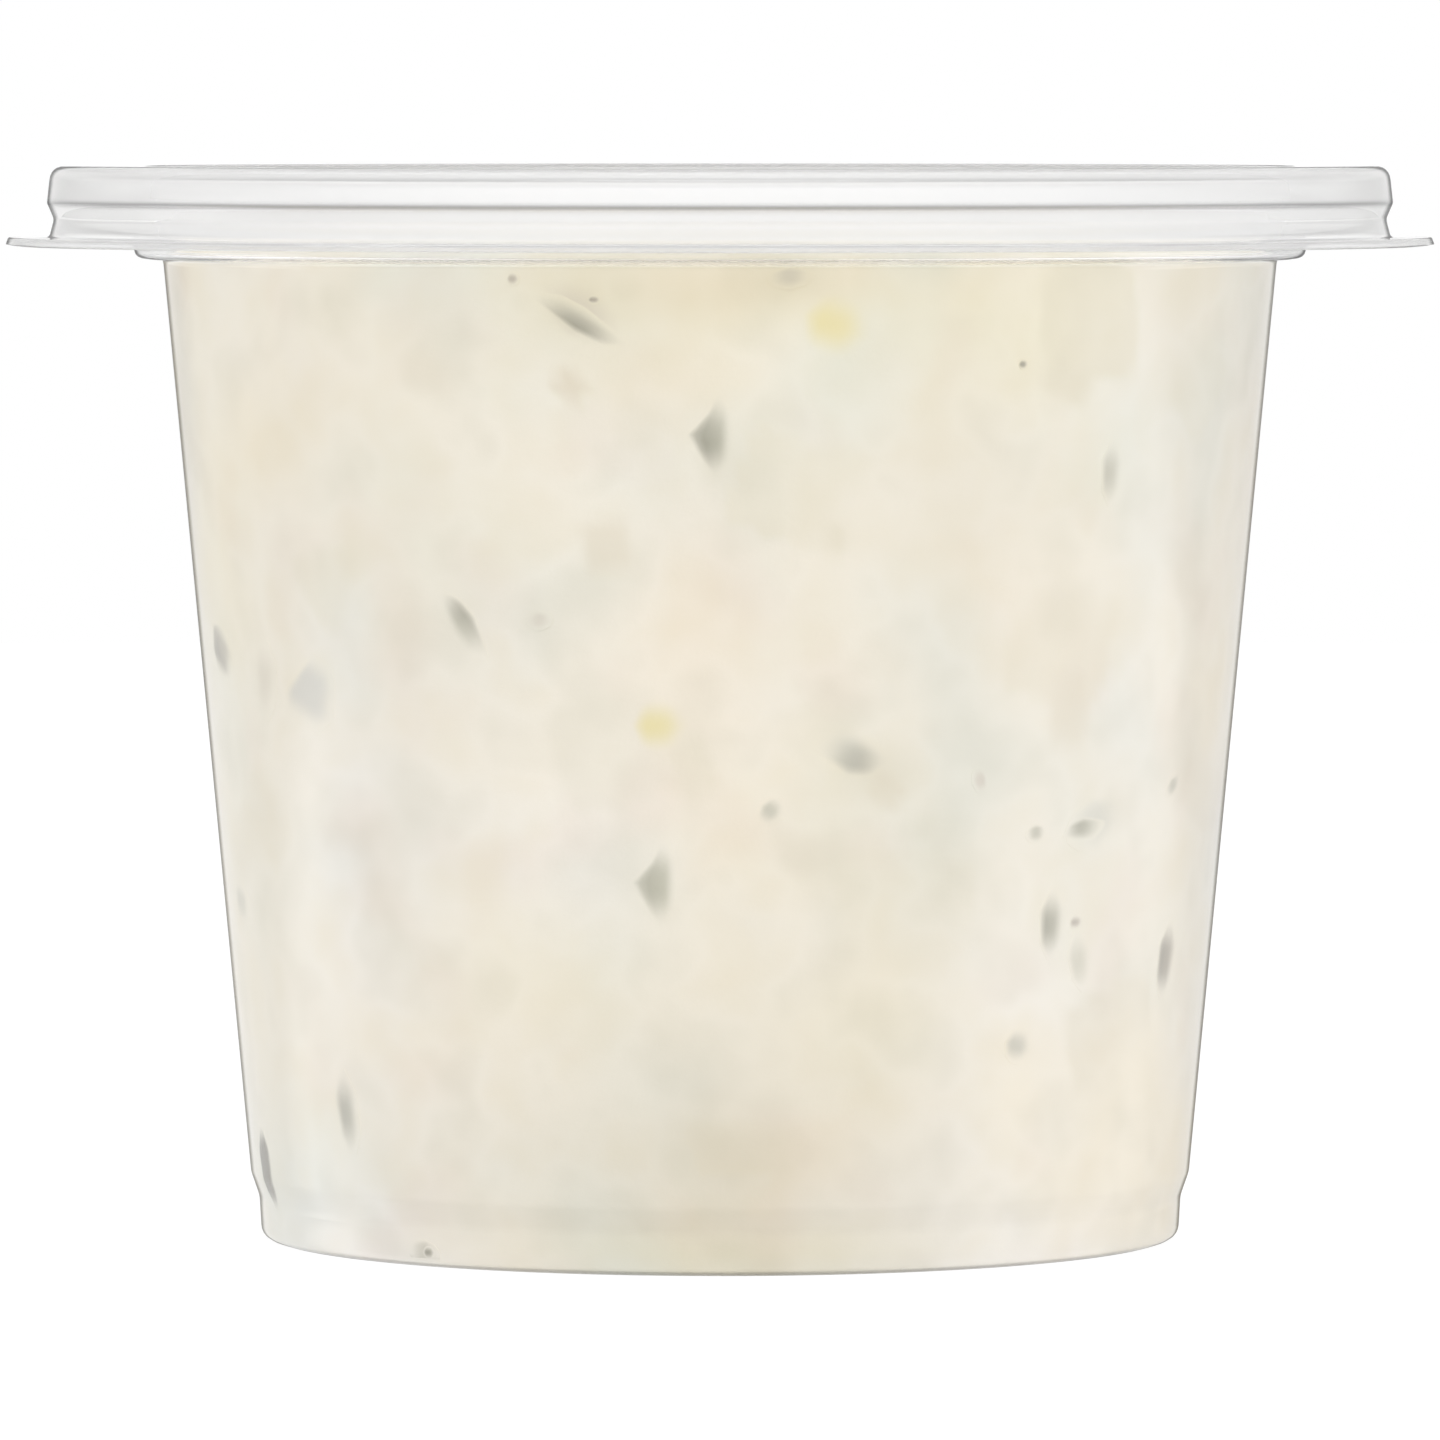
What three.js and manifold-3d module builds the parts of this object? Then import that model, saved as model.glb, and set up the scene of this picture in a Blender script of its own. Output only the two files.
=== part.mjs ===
import * as THREE from 'three';
import { mergeVertices } from 'three/addons/utils/BufferGeometryUtils.js';
import Module from 'manifold-3d';

// Potato salad in a shut, clear, round tub with a push-on lid.
// Millimetres, +Z up, origin at the centre of the foot that the tub stands on.
// Tub and lid are thin formed sheets: each is one line of corners, given from the axis outwards,
// with a second line laid at the sheet's thickness beside it.

const wasm = await Module();
wasm.setup();

const SIDES = 48; // flats round each turned piece
const GAP = 0.3; // clearance between neighbours

// Tub: the outer face of the sheet
const TUB_SHEET = 0.45;
const FOOT_RADIUS = 39.85;
const FOOT_FILLET = 1.5;
const BAND_TOP = { radius: 40.06, height: 3.8 };
const STEP_TOP = { radius: 40.85, height: 5.4 };
const LEDGE_HEIGHT = 85.05;
const WALL_TOP_RADIUS = 48.37;
const MOUTH_RADIUS = 50.85;
const LEDGE_FILLET = 0.95;
const RIM_HEIGHT = 92.3;
const RIM_OUTER_RADIUS = 56.75;

// Lid: the upper face of the sheet
const LID_SHEET = 0.4;
const LID_HEIGHT = 93.1;
const PANEL_HEIGHT = 89.8;
const PANEL_RING = { inner: 27.5, outer: 33.5, slope: 1.2, rise: 0.6 };
const PLUG_RADIUS = 49.5;
const LID_CORNER_RADIUS = 58.05;
const LID_CORNER_FILLET = 1.4;
const BULGE = { radius: 58.4, height: 89.9 };
const NOTCH = { radius: 57.8, height: 88.5 };
const SKIRT_FOOT_RADIUS = 58.2;
const FLANGE_RADIUS = 62.0;
const FLANGE_HEIGHT = 86.95;

// Salad: it fills the tub to just over the ledge and is uneven on top
const SALAD_LEVEL = 85.5;
const SALAD_PEAK = 86.6;
const CORE_INSET = 0.8;
const TOP_RINGS = 5;
const SIDE_DICE = 26;
const TOP_DICE = 17;
const DICE_SIZE = { least: 8, most: 13 };
const DICE_SINK = 0.43; // how far a die's middle lies under the surface, as a share of its size
const BACK_FLECKS = 26;
const FLECK_DEPTH = 1.5;
const SPREAD_TURN = 137.5; // degrees from one piece to the next, which spreads them evenly
const SEED = 16;

// Herb flecks on the shown side: degrees to the right of the front, height, length and width in
// millimetres, and lean clockwise from upright in degrees
const FRONT_FLECKS = [
  [-17, 82, 7.0, 2.4, 118],
  [-2, 70, 5.5, 2.8, 0],
  [-8, 33, 5.7, 2.7, 0],
  [16, 44, 3.4, 2.2, 95],
  [-33, 56, 3.4, 1.5, 140],
  [-54, 49, 4.9, 3.1, 25],
  [50, 68, 4.0, 1.4, 0],
  [52, 38, 3.2, 1.6, 75],
  [48, 29, 4.4, 1.6, 5],
  [54, 27, 4.4, 1.6, 155],
  [-56, 12, 5.2, 1.7, 175],
  [-83, 10, 5.6, 2.2, 175],
  [79, 25, 4.4, 1.8, 5],
  [42, 20, 2.4, 1.6, 20],
];

// Yellow bits of yolk: degrees to the right of the front, height and size
const YOLK_BITS = [
  [14, 80, 4.2],
  [-8, 47, 3.6],
  [120, 60, 4.0],
  [-140, 35, 3.8],
  [170, 74, 3.4],
];

// A draw of numbers from 0 to 1 that gives the same run each time
function seededDraw(seed) {
  const [factor, shift, range] = [1664525, 1013904223, 2 ** 32];
  let state = seed;
  return () => {
    state = (state * factor + shift) % range;
    return state / range;
  };
}

function between(low, high, draw) {
  return low + (high - low) * draw();
}

// A line of corners [radius, height, fillet], each fillet laid as a short curve of a few points
function roundedLine(corners) {
  const line = [];
  corners.forEach(([radius, height, fillet], i) => {
    const corner = new THREE.Vector2(radius, height);
    if (!fillet) {
      line.push(corner);
      return;
    }
    const back = new THREE.Vector2(...corners[i - 1]).sub(corner).normalize();
    const ahead = new THREE.Vector2(...corners[i + 1]).sub(corner).normalize();
    const halfAngle = Math.acos(THREE.MathUtils.clamp(back.dot(ahead), -1, 1)) / 2;
    const reach = fillet / Math.tan(halfAngle);
    const start = corner.clone().addScaledVector(back, reach);
    const end = corner.clone().addScaledVector(ahead, reach);
    const steps = halfAngle > 1 ? 1 : 2;
    line.push(...new THREE.QuadraticBezierCurve(start, corner, end).getPoints(steps));
  });
  return line;
}

// The line moved sideways by a distance, to the left of its direction
function lineBeside(line, distance) {
  return line.map((point, i) => {
    const before = line[Math.max(i - 1, 0)];
    const after = line[Math.min(i + 1, line.length - 1)];
    const incoming = point.clone().sub(before).normalize();
    const outgoing = after.clone().sub(point).normalize();
    const along = incoming.clone().add(outgoing).normalize();
    const left = new THREE.Vector2(-along.y, along.x);
    const edge = i > 0 ? incoming : outgoing;
    const widening = Math.max(left.dot(new THREE.Vector2(-edge.y, edge.x)), 0.5);
    const moved = point.clone().addScaledVector(left, distance / widening);
    moved.x = point.x === 0 ? 0 : moved.x;
    return moved;
  });
}

function turned(profile) {
  const geometry = new THREE.LatheGeometry(profile, SIDES);
  geometry.rotateX(Math.PI / 2);
  return geometry;
}

// A closed solid from a geometry: shared corners merged, faces without area left out
function solid(geometry) {
  const bare = geometry.clone();
  bare.deleteAttribute('normal');
  bare.deleteAttribute('uv');
  const merged = mergeVertices(bare, 1e-4);
  const corners = merged.index.array;
  const triVerts = [];
  for (let i = 0; i < corners.length; i += 3) {
    const [a, b, c] = corners.slice(i, i + 3);
    if (a !== b && b !== c && c !== a) {
      triVerts.push(a, b, c);
    }
  }
  return new wasm.Manifold(new wasm.Mesh({
    numProp: 3,
    vertProperties: new Float32Array(merged.attributes.position.array),
    triVerts: new Uint32Array(triVerts),
  }));
}

function geometryOf(body) {
  const mesh = body.getMesh();
  const geometry = new THREE.BufferGeometry();
  geometry.setAttribute('position', new THREE.BufferAttribute(mesh.vertProperties, 3));
  geometry.setIndex(new THREE.BufferAttribute(mesh.triVerts, 1));
  geometry.computeVertexNormals();
  return geometry;
}

function tubLine() {
  const rimUnderside = RIM_HEIGHT - TUB_SHEET;
  return roundedLine([
    [0, 0],
    [FOOT_RADIUS, 0, FOOT_FILLET],
    [BAND_TOP.radius, BAND_TOP.height],
    [STEP_TOP.radius, STEP_TOP.height],
    [WALL_TOP_RADIUS, LEDGE_HEIGHT],
    [MOUTH_RADIUS, LEDGE_HEIGHT, LEDGE_FILLET],
    [MOUTH_RADIUS + 0.2, rimUnderside, 0.5],
    [RIM_OUTER_RADIUS, rimUnderside, 0.5],
    [RIM_OUTER_RADIUS + 0.4, BULGE.height],
    [RIM_OUTER_RADIUS - 0.15, NOTCH.height],
    [RIM_OUTER_RADIUS + 0.15, FLANGE_HEIGHT + 0.3],
  ]);
}

function lidLine() {
  return roundedLine([
    [0, PANEL_HEIGHT],
    [PANEL_RING.inner, PANEL_HEIGHT],
    [PANEL_RING.inner + PANEL_RING.slope, PANEL_HEIGHT + PANEL_RING.rise],
    [PANEL_RING.outer - PANEL_RING.slope, PANEL_HEIGHT + PANEL_RING.rise],
    [PANEL_RING.outer, PANEL_HEIGHT],
    [PLUG_RADIUS - 0.3, PANEL_HEIGHT, 1.0],
    [PLUG_RADIUS, LID_HEIGHT, 0.8],
    [LID_CORNER_RADIUS, LID_HEIGHT, LID_CORNER_FILLET],
    [BULGE.radius, BULGE.height],
    [NOTCH.radius, NOTCH.height],
    [SKIRT_FOOT_RADIUS, FLANGE_HEIGHT],
    [FLANGE_RADIUS, FLANGE_HEIGHT],
  ]);
}

// A thin formed sheet: out along the lower of two lines and back along the upper one
function sheetOf(lower, upper) {
  return solid(turned([...lower, ...upper.reverse()]));
}

// The tub's inner face moved in by an inset, with the slanted wall run on straight to a height
function insideLine(inset, top) {
  const inner = lineBeside(tubLine(), TUB_SHEET + inset);
  const foot = inner.filter((point) => point.y < 2 * STEP_TOP.height);
  const wallFoot = foot[foot.length - 1];
  const slope = (WALL_TOP_RADIUS - STEP_TOP.radius) / (LEDGE_HEIGHT - STEP_TOP.height);
  const edge = new THREE.Vector2(wallFoot.x + slope * (top - wallFoot.y), top);
  return [...foot, edge];
}

// Slow waves on top of the salad, as the dressing lies over what is under it
function topWave(x, y) {
  const broad = 0.35 * Math.sin(0.21 * x + 1.3) * Math.cos(0.17 * y - 0.6);
  const fine = 0.25 * Math.sin(0.31 * (x + y) + 0.9);
  return broad + fine;
}

function saladCore() {
  const side = insideLine(CORE_INSET, SALAD_LEVEL);
  const edgeRadius = side[side.length - 1].x;
  const top = [];
  for (let ring = TOP_RINGS - 1; ring >= 0; ring -= 1) {
    top.push(new THREE.Vector2((edgeRadius * ring) / TOP_RINGS, SALAD_LEVEL));
  }
  const geometry = turned([...side, ...top]);
  const place = geometry.attributes.position;
  for (let i = 0; i < place.count; i += 1) {
    if (place.getZ(i) > SALAD_LEVEL - 0.01) {
      place.setZ(i, SALAD_LEVEL + topWave(place.getX(i), place.getY(i)));
    }
  }
  return solid(geometry);
}

// The salad's outer radius at a height
function fillRadius(height) {
  const side = insideLine(GAP, SALAD_LEVEL);
  const above = side.findIndex((point) => point.y >= height);
  const low = side[above - 1];
  const high = side[above];
  return low.x + ((high.x - low.x) * (height - low.y)) / (high.y - low.y);
}

// A place on the wall: x to the right of the front, turned about the axis
function onWall(geometry, degrees, radius, height) {
  geometry.translate(0, -radius, height);
  geometry.rotateZ(THREE.MathUtils.degToRad(degrees));
  return solid(geometry);
}

function potatoDie(draw) {
  const size = between(DICE_SIZE.least, DICE_SIZE.most, draw);
  const deep = size * between(0.8, 1.1, draw);
  const tall = size * between(0.75, 1.05, draw);
  const die = new THREE.BoxGeometry(size, deep, tall);
  die.rotateX(between(-0.45, 0.45, draw));
  die.rotateY(between(-0.8, 0.8, draw));
  die.rotateZ(between(-0.45, 0.45, draw));
  return { die, size };
}

function sideDice(draw) {
  const [lowest, highest] = [9, 79];
  return Array.from({ length: SIDE_DICE }, (_, i) => {
    const { die, size } = potatoDie(draw);
    const height = lowest + ((highest - lowest) * (i + draw())) / SIDE_DICE;
    return onWall(die, SPREAD_TURN * i, fillRadius(height) - DICE_SINK * size, height);
  });
}

function topDice(draw) {
  const reach = 44;
  return Array.from({ length: TOP_DICE }, (_, i) => {
    const { die, size } = potatoDie(draw);
    const radius = reach * Math.sqrt((i + 0.5) / TOP_DICE);
    return onWall(die, SPREAD_TURN * i, radius, SALAD_LEVEL - DICE_SINK * size);
  });
}

// A leaf fleck pressed to the wall: a flat diamond, half sunk in the core
function fleck(degrees, height, length, width, lean) {
  const shape = new THREE.OctahedronGeometry(1);
  shape.scale(width / 2, FLECK_DEPTH, length / 2);
  shape.rotateY(THREE.MathUtils.degToRad(lean));
  return onWall(shape, degrees, fillRadius(height) - CORE_INSET, height);
}

// The flecks on the side away from the shown one, spread as evenly as those in front
function backFlecks(draw) {
  const [firstTurn, lastTurn] = [95, 265];
  const [lowest, highest] = [6, 82];
  return Array.from({ length: BACK_FLECKS }, (_, i) => {
    const degrees = firstTurn + ((i * SPREAD_TURN) % (lastTurn - firstTurn));
    const height = lowest + ((highest - lowest) * (i + draw())) / BACK_FLECKS;
    const length = between(3, 6.5, draw);
    const width = between(1.4, 2.8, draw);
    return fleck(degrees, height, length, width, between(0, 180, draw));
  });
}

function yolkBit(degrees, height, size) {
  const shape = new THREE.IcosahedronGeometry(size / 2, 0);
  return onWall(shape, degrees, fillRadius(height) - 0.25 * size, height);
}

// Core, potato, flecks and yolk fused, kept clear of the tub's inner face. Only the largest body
// stays, which drops loose scraps and fills any hollow shut in between two pieces.
function saladSolid() {
  const draw = seededDraw(SEED);
  const pieces = [
    ...sideDice(draw),
    ...topDice(draw),
    ...FRONT_FLECKS.map((row) => fleck(...row)),
    ...backFlecks(draw),
    ...YOLK_BITS.map((row) => yolkBit(...row)),
  ];
  const fused = pieces.reduce((body, piece) => body.add(piece), saladCore());
  const room = solid(turned([...insideLine(GAP, SALAD_PEAK), new THREE.Vector2(0, SALAD_PEAK)]));
  const bodies = fused.intersect(room).decompose();
  return bodies.reduce((largest, body) => (body.volume() > largest.volume() ? body : largest));
}

function clearPlastic(color) {
  return new THREE.MeshStandardMaterial({
    color,
    roughness: 0.12,
    metalness: 0,
    transparent: true,
    opacity: 0.3,
  });
}

function creamyDressing() {
  return new THREE.MeshStandardMaterial({
    color: 0xeee6d4,
    roughness: 0.55,
    metalness: 0,
    flatShading: true,
  });
}

function part(name, body, material) {
  const mesh = new THREE.Mesh(geometryOf(body), material);
  mesh.name = name;
  return mesh;
}

const tubSheet = sheetOf(tubLine(), lineBeside(tubLine(), TUB_SHEET));
const lidSheet = sheetOf(lineBeside(lidLine(), -LID_SHEET), lidLine());

const group = new THREE.Group();
group.add(
  part('tub', tubSheet, clearPlastic(0xf3f5f2)),
  part('lid', lidSheet, clearPlastic(0xf6f7f6)),
  part('potato_salad', saladSolid(), creamyDressing()),
);

export default group;
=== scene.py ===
import math
import bpy
import numpy as np
from mathutils import Euler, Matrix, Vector
from mathutils import noise as bl_noise
from mathutils.bvhtree import BVHTree


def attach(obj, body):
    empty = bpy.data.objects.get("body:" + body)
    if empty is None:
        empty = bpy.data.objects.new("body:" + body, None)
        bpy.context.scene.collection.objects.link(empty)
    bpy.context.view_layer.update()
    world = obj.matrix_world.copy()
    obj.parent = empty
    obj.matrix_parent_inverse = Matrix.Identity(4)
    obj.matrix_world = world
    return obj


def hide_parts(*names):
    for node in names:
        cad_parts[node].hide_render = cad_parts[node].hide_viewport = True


# A shut, clear, round tub of creamy potato salad. Sizes are in millimetres unless a name says
# otherwise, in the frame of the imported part: +Z up, the shown side towards -Y.

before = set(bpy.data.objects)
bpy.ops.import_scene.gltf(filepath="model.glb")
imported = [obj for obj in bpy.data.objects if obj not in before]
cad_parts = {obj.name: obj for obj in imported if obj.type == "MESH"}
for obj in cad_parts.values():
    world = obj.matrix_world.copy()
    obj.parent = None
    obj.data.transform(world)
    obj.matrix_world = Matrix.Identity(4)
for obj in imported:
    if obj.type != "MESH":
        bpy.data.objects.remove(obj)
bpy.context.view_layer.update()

MM = 0.001
TURN = math.tau
ABOVE = 95.0
DOWN = Vector((0, 0, -1))

# Tub: the outer face of its sheet, as corners [radius, height, fillet]
TUB_SHEET = 0.45
RIM_HEIGHT = 92.3
RIM_UNDERSIDE = RIM_HEIGHT - TUB_SHEET
STEP_TOP = (40.88, 5.7)
WALL_TOP = (48.37, 85.05)
TUB_CORNERS = [
    (0.0, 0.0, 0.0),
    (39.95, 0.0, 1.15),
    (40.15, 3.6, 3.0),
    (*STEP_TOP, 3.0),
    (*WALL_TOP, 0.5),
    (50.85, WALL_TOP[1], 1.0),
    (51.05, RIM_UNDERSIDE, 0.5),
    (56.75, RIM_UNDERSIDE, 0.5),
    (57.15, 89.9, 0.8),
    (56.6, 88.5, 0.8),
    (56.9, 87.25, 0.0),
]

# Lid: the upper face of its sheet
LID_SHEET = 0.4
LID_CORNERS = [
    (0.0, 89.8, 0.0),
    (27.5, 89.8, 0.8),
    (28.7, 90.4, 0.8),
    (32.3, 90.4, 0.8),
    (33.5, 89.8, 0.8),
    (49.2, 89.8, 1.0),
    (49.5, 93.1, 0.8),
    (58.05, 93.1, 1.4),
    (58.4, 89.9, 0.6),
    (57.8, 88.5, 0.9),
    (58.2, 86.95, 0.4),
    (61.75, 86.95, 0.25),
    (61.97, 86.35, 0.0),
]

# Creases of the sheets, where grey lines of painted shade go into the plastic's colour in place of
# the dark lines that the bent sheet gives by bending light: radius, height, reach and strength
TUB_SHADED_CREASES = [
    (50.75, 85.3, 0.35, 0.5),
    (48.7, 85.0, 0.35, 0.15),
    (56.75, 91.95, 0.3, 0.3),
    (39.05, 0.02, 0.36, 1.0),
]
LID_SHADED_CREASES = [
    (58.3, 89.9, 0.26, 0.95),
    (57.75, 93.0, 0.3, 0.3),
    (49.45, 92.95, 0.35, 0.5),
    (61.9, 86.6, 0.35, 0.25),
]

# Sheets: the rounding of a cut edge, how close the points lie in a crease, and the steps round
LIP = 0.1
CREASE_SPACING = 0.12
SHEET_STEPS = 240

# Salad: heights of its level, its peak and its brim at the wall, how far it reaches into the
# wall, and the fillet at its foot
SALAD_LEVEL = 85.5
SALAD_PEAK = 86.5
BRIM_LEVEL = 85.2
INTO_WALL = 0.08
FILL_FOOT = 0.7
SPREAD_TURN = 137.5
SEED = 16

# Dice: their gap to the wall as packed, their sink as a share of their size, the heights of
# those at the wall, the circle of those on top, and where the lid starts to press them down
SIDE_DICE = 26
TOP_DICE = 17
DICE_SIZE = (8.0, 13.0)
DICE_GAP = 0.3
DICE_SINK = 0.43
LOWEST_DIE = 9.0
DICE_SPAN = 70.0
DICE_CIRCLE = 44.0
PRESS_FROM = 84.6
PRESS_EASE = 1.4

# Dressing: its least thickness over the dice, the depth over which they fade from sight, how
# close the points lie up its side, and the radii of its flat underside and of the mouth
UNDER_SKIN = 0.15
VEIL = 0.9
LINE_SPACING = 1.1
UNDERSIDE_RADIUS = 37.0
MOUTH_RADIUS = 48.6

# The dressing's top: the height of its middle, its climb to the wall, the zones of the climb
# and of the brim by distance from the wall, its drape over the dice, its rings and its steps
TOP_MIDDLE = 84.9
TOP_CLIMB = 86.2
CLIMB_SHARE = 0.9
CLIMB_ZONE = (3.0, 9.0)
BRIM_ZONE = (0.0, 1.6)
DRAPE_OVER = 0.2
DRAPE_EASE = 0.3
TOP_RINGS = 76
DRESSING_STEPS = 320

# Leaf flecks and yolk out of sight of the photo: their numbers, where their degrees and their
# heights start and how far they go on, the longest of the small ones, which are plain ovals,
# and the circle and first turn of those on top
FAR_FLECKS = 26
FAR_DEGREES = (95, 170)
FAR_HEIGHTS = (6, 76)
SMALL_FLECKS = 24
SMALL_DEGREES = (92, 176)
SMALL_HEIGHTS = (4, 78)
LONGEST_SMALL = 2.6
TOP_FLECKS = 34
FLECK_CIRCLE = (46, 60)
TOP_YOLK = 9
YOLK_CIRCLE = (42, 200)

# Camera and studio, in metres and degrees
EYE_DISTANCE = 1.071
EYE_HEIGHT = 0.09785
AIM_HEIGHT = 0.0449
LENS = 307.9
ROOM_LIGHT = 0.85
FLOOR_BOUNCE = 0.75
FLOOR_MATTE = 0.25
FLOOR_GLOW = 0.86
FLOOR_RADIUS = 1.2
CARD_LIGHT = 1.12
RING_LIGHT = 0.2

# Light that clear plastic meets, by degrees off the camera's axis: a card, a dim ring, the
# room, and the share of it that is left in a dusky band, which starts and ends over these rises
ROOM_STOPS = [
    (4.8, CARD_LIGHT),
    (5.6, RING_LIGHT),
    (12.0, RING_LIGHT),
    (17.0, 0.9),
    (60.0, 1.0),
    (100.0, 0.8),
    (180.0, 0.6),
]
DUSK_STOPS = [(12.0, 1.0), (30.0, 0.78), (60.0, 0.6), (94.0, 0.55), (106.0, 1.0)]
DUSK_FROM = (-0.10, -0.05)
DUSK_TO = (0.14, 0.06)

# Glowing walls: shares by degrees round the tub, the rise over which each starts, and strength
GLOWS = [
    ([(-132, 0.0), (-118, 0.9), (-106, 1.0), (-90, 0.0)], (-0.15, -0.175), 1.5),
    ([(55, 0.0), (75, 1.0), (115, 1.0), (135, 0.3), (160, 0.0)], (-0.12, -0.145), 1.9),
    ([(-170, 0.3), (-140, 1.0), (-120, 0.7), (-100, 0.0)], (-0.05, -0.08), 0.3),
]


def srgb(red, green, blue):
    """A colour given as 0 to 255 on screen, as the linear values that shaders take."""
    def linear(part):
        share = part / 255.0
        return share / 12.92 if share <= 0.04045 else ((share + 0.055) / 1.055) ** 2.4
    return (linear(red), linear(green), linear(blue), 1.0)


def smooth_step(low, high, value):
    """How far a value has come from a low to a high one, from 0 to 1 with soft ends."""
    share = np.clip((value - low) / (high - low), 0.0, 1.0)
    return share * share * (3.0 - 2.0 * share)


# Lines and turned sheets

def rounded_line(corners, steps=6):
    """Corners [radius, height, fillet] as a line of points, each fillet a short smooth curve."""
    line = []
    for i, (radius, height, fillet) in enumerate(corners):
        corner = Vector((radius, height))
        if not fillet:
            line.append(corner)
            continue
        back = (Vector(corners[i - 1][:2]) - corner).normalized()
        ahead = (Vector(corners[i + 1][:2]) - corner).normalized()
        half_angle = back.angle(ahead) / 2
        reach = fillet / math.tan(half_angle)
        start = corner + back * reach
        end = corner + ahead * reach
        for step in range(steps + 1):
            t = step / steps
            line.append(start.lerp(corner, t).lerp(corner.lerp(end, t), t))
    return line


def line_beside(line, distance):
    """The line moved by a distance to the left of its direction."""
    moved = []
    for i, point in enumerate(line):
        before = line[max(i - 1, 0)]
        after = line[min(i + 1, len(line) - 1)]
        along = ((point - before).normalized() + (after - point).normalized()).normalized()
        edge = (point - before) if i else (after - point)
        left = Vector((-along.y, along.x))
        widening = max(left.dot(Vector((-edge.y, edge.x)).normalized()), 0.5)
        place = point + left * (distance / widening)
        moved.append(Vector((0.0, place.y)) if point.x == 0 else place)
    return moved


def drawn_line(name, line):
    """A new piece that is so far only edges through the line's points, in the XZ plane."""
    bpy.ops.object.select_all(action="DESELECT")
    bpy.ops.mesh.primitive_plane_add(size=MM, location=(0, 0, 0))
    piece = bpy.context.object
    piece.name = name
    piece.data.name = name
    places = [Vector((point.x, 0.0, point.y)) * MM for point in line]
    bpy.ops.object.mode_set(mode="EDIT")
    bpy.ops.mesh.select_all(action="SELECT")
    bpy.ops.mesh.merge(type="CENTER")
    bpy.ops.transform.translate(value=places[0])
    for here, there in zip(places, places[1:]):
        bpy.ops.mesh.extrude_region_move(TRANSFORM_OT_translate={"value": there - here})
    return piece


def turned(name, line, steps):
    """The line spun round the upright axis into a skin whose faces point out."""
    piece = drawn_line(name, line)
    bpy.ops.mesh.select_all(action="SELECT")
    bpy.ops.mesh.spin(steps=steps, angle=TURN, center=(0, 0, 0), axis=(0, 0, 1))
    bpy.ops.mesh.select_all(action="SELECT")
    bpy.ops.mesh.remove_doubles(threshold=0.002 * MM)
    bpy.ops.mesh.normals_make_consistent(inside=False)
    bpy.ops.object.mode_set(mode="OBJECT")
    return piece


def set_facing(piece, downwards):
    """Turns the whole skin over where the face at its middle points the wrong way."""
    middle = min(piece.data.polygons, key=lambda face: face.center.xy.length)
    if (middle.normal.z < 0) != downwards:
        bpy.ops.object.mode_set(mode="EDIT")
        bpy.ops.mesh.select_all(action="SELECT")
        bpy.ops.mesh.flip_normals()
        bpy.ops.object.mode_set(mode="OBJECT")


def apply_all(piece):
    """Applies every modifier of a piece, in order."""
    bpy.context.view_layer.objects.active = piece
    for modifier in list(piece.modifiers):
        bpy.ops.object.modifier_apply(modifier=modifier.name)


def close_spaced(line, shaded_creases):
    """The line with added points near the creases [radius, height, reach, strength]."""
    spaced = line[:1]
    for before, after in zip(line, line[1:]):
        length = (after - before).length
        parts = max(1, math.ceil(length / CREASE_SPACING))
        steps = [before.lerp(after, (i + 1) / parts) for i in range(parts)]
        near = [any((step - Vector(crease_shade[:2])).length < 3 * crease_shade[2] for crease_shade in shaded_creases)
                for step in steps]
        spaced += [step for step, kept in zip(steps, near) if kept and step != after] + [after]
    return spaced


def mark_crease_shade(piece, shaded_creases):
    """An attribute of painted shade, that says how strongly each point lies in a crease of the sheet,
    where the plastic's colour is painted grey.
    """
    places = points_of(piece)
    line = np.column_stack([np.linalg.norm(places[:, :2], axis=1), places[:, 2]])
    marks = np.zeros(len(line))
    for radius, height, reach, strength in shaded_creases:
        away = np.linalg.norm(line - (radius, height), axis=1)
        marks = np.maximum(marks, strength * np.exp(-(away / reach) ** 2))
    crease_shade = piece.data.attributes.new("crease_shade", "FLOAT", "POINT")
    crease_shade.data.foreach_set("value", marks)


def points_of(piece):
    """The places of a piece's points, in millimetres."""
    places = np.empty(len(piece.data.vertices) * 3)
    piece.data.vertices.foreach_get("co", places)
    return places.reshape(-1, 3) / MM


def formed_sheet(name, corners, shaded_creases, thickness, downwards):
    """A thin formed sheet: the outer line turned, then given its thickness on the inner side."""
    piece = turned(name, close_spaced(rounded_line(corners), shaded_creases), SHEET_STEPS)
    set_facing(piece, downwards)
    wall = piece.modifiers.new("wall", "SOLIDIFY")
    wall.thickness = thickness * MM
    wall.offset = -1
    wall.use_even_offset = True
    wall.use_quality_normals = True
    lip = piece.modifiers.new("lip", "BEVEL")
    lip.width = LIP * MM
    lip.segments = 2
    lip.angle_limit = math.radians(50)
    apply_all(piece)
    bpy.ops.object.shade_smooth_by_angle(angle=math.radians(40))
    mark_crease_shade(piece, shaded_creases)
    return piece


# Materials

def tree_of(name):
    """A new material and its empty node tree."""
    material = bpy.data.materials.new(name)
    material.use_nodes = True
    material.node_tree.nodes.clear()
    return material, material.node_tree


def put(tree, kind, settings=None, **sockets):
    """A node with its settings, and its sockets set to values or linked to other sockets."""
    node = tree.nodes.new(kind)
    for key, value in (settings or {}).items():
        setattr(node, key, value)
    for key, value in sockets.items():
        socket = node.inputs[int(key[1:])] if key[0] == "_" else node.inputs[key.replace("_", " ")]
        if isinstance(value, bpy.types.NodeSocket):
            tree.links.new(value, socket)
        else:
            socket.default_value = value
    return node


def noise(tree, place, size_mm, detail=2.0, rough=0.5):
    """Soft noise whose lumps are about the given size across."""
    node = put(tree, "ShaderNodeTexNoise", Vector=place, Scale=1.0 / (size_mm * MM),
               Detail=detail, Roughness=rough)
    return node.outputs["Fac"]


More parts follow.
